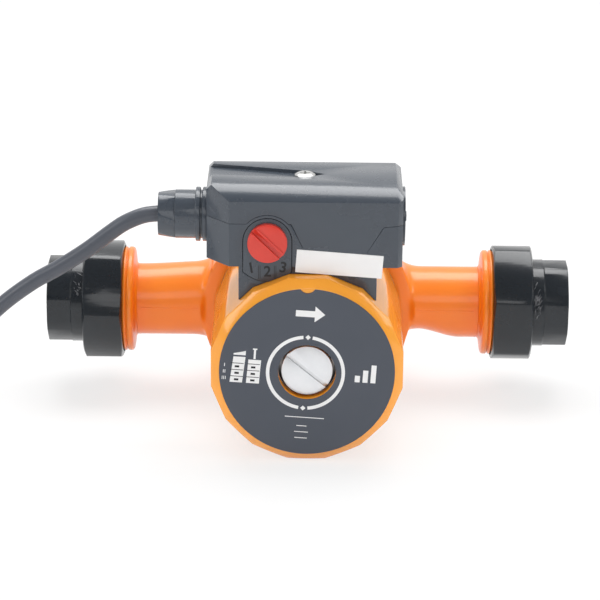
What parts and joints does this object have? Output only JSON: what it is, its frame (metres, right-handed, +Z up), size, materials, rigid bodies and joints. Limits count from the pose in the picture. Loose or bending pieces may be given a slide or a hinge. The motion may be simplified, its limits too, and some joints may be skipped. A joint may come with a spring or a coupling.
{
  "type": "circulation pump",
  "caption": "Inline wet-rotor circulation pump with union nuts and tails on both ports, a terminal box with a speed knob, and a mains lead with plug.",
  "frame": {"origin": "on the standing surface under the middle of the pump, measured without its lead", "axes": "+X along the pipe towards the outlet, -Y along the motor axis towards the label, +Z up"},
  "size_m": [0.3831, 0.1677, 0.1207],
  "materials": {
    "orange_paint": "gloss coat on cast metal",
    "slate_plastic": "satin moulded",
    "slate_label": "satin printed film",
    "black_iron": "gloss black coat",
    "steel": "bright",
    "bright_plug": "turned and plated",
    "knob_red": "gloss",
    "sticker_white": "satin film",
    "seal_rubber": "matte",
    "impeller_plastic": "satin",
    "bush_ceramic": "ground",
    "lamination": "stacked sheets",
    "winding": "enamelled copper",
    "black_plastic": "satin",
    "pale_plastic": "satin",
    "capacitor_skin": "gloss",
    "lead_sheath": "satin",
    "pin_nickel": "plated"
  },
  "bodies": {
    "root": {"pump_housing": "orange_paint", "front_bearing": "bush_ceramic", "rear_bearing": "bush_ceramic", "bearing_plate": "steel", "housing_seal": "seal_rubber", "rotor_can": "steel", "stator_core": "lamination", "stator_windings": "winding", "motor_housing": "orange_paint", "housing_screws": "steel", "label_plate": "slate_label", "vent_plug_seal": "seal_rubber", "box_base": "slate_plastic", "dial_plate": "slate_plastic", "speed_switch": "black_plastic", "capacitor": "capacitor_skin", "terminal_block": "pale_plastic", "gland_body": "slate_plastic", "gland_seal": "seal_rubber", "lead_inner": "lead_sheath", "blanking_plug": "slate_plastic", "inlet_tail": "black_iron", "outlet_tail": "black_iron", "inlet_gasket": "seal_rubber", "outlet_gasket": "seal_rubber", "lead": "lead_sheath", "lead_coil": "lead_sheath", "coil_tie": "black_plastic", "plug_body": "black_plastic", "plug_pins": "pin_nickel"},
    "rotor": {"impeller": "impeller_plastic", "shaft": "steel", "thrust_ring": "bush_ceramic", "rotor_core": "steel"},
    "knob": {"speed_knob": "knob_red"},
    "vent": {"vent_plug": "bright_plug"},
    "cover": {"box_cover": "slate_plastic", "sticker": "sticker_white"},
    "screw": {"cover_screw": "steel"},
    "gland_cap": {"gland_nut": "slate_plastic"},
    "nut_in": {"inlet_nut": "black_iron"},
    "nut_out": {"outlet_nut": "black_iron"}
  },
  "joints": [
    {"name": "rotor_spin", "type": "hinge", "parent": "root", "child": "rotor", "pos_m": [0, 0.03075, 0.0416], "axis": [0, -1, 0], "continuous": true},
    {"name": "knob_turn", "type": "hinge", "parent": "root", "child": "knob", "pos_m": [-0.0175, -0.05425, 0.0978], "axis": [0, -1, 0], "range_deg": [-76, 0]},
    {"name": "vent_plug_turn", "type": "hinge", "parent": "root", "child": "vent", "pos_m": [0, -0.05925, 0.0416], "axis": [0, -1, 0], "range_deg": [0, 540]},
    {"name": "cover_lift", "type": "slide", "parent": "root", "child": "cover", "axis": [0, 0, 1], "range_m": [0, 0.04]},
    {"name": "cover_screw_turn", "type": "hinge", "parent": "cover", "child": "screw", "pos_m": [-0.0017, -0.02725, 0.1201], "axis": [0, 0, 1], "range_deg": [0, 1080]},
    {"name": "gland_nut_turn", "type": "hinge", "parent": "root", "child": "gland_cap", "pos_m": [-0.06, -0.02925, 0.1021], "axis": [-1, 0, 0], "range_deg": [0, 810]},
    {"name": "inlet_nut_turn", "type": "hinge", "parent": "root", "child": "nut_in", "pos_m": [-0.093, 0.03075, 0.0416], "axis": [-1, 0, 0], "range_deg": [0, 890]},
    {"name": "outlet_nut_turn", "type": "hinge", "parent": "root", "child": "nut_out", "pos_m": [0.093, 0.03075, 0.0416], "axis": [1, 0, 0], "range_deg": [0, 890]}
  ]
}
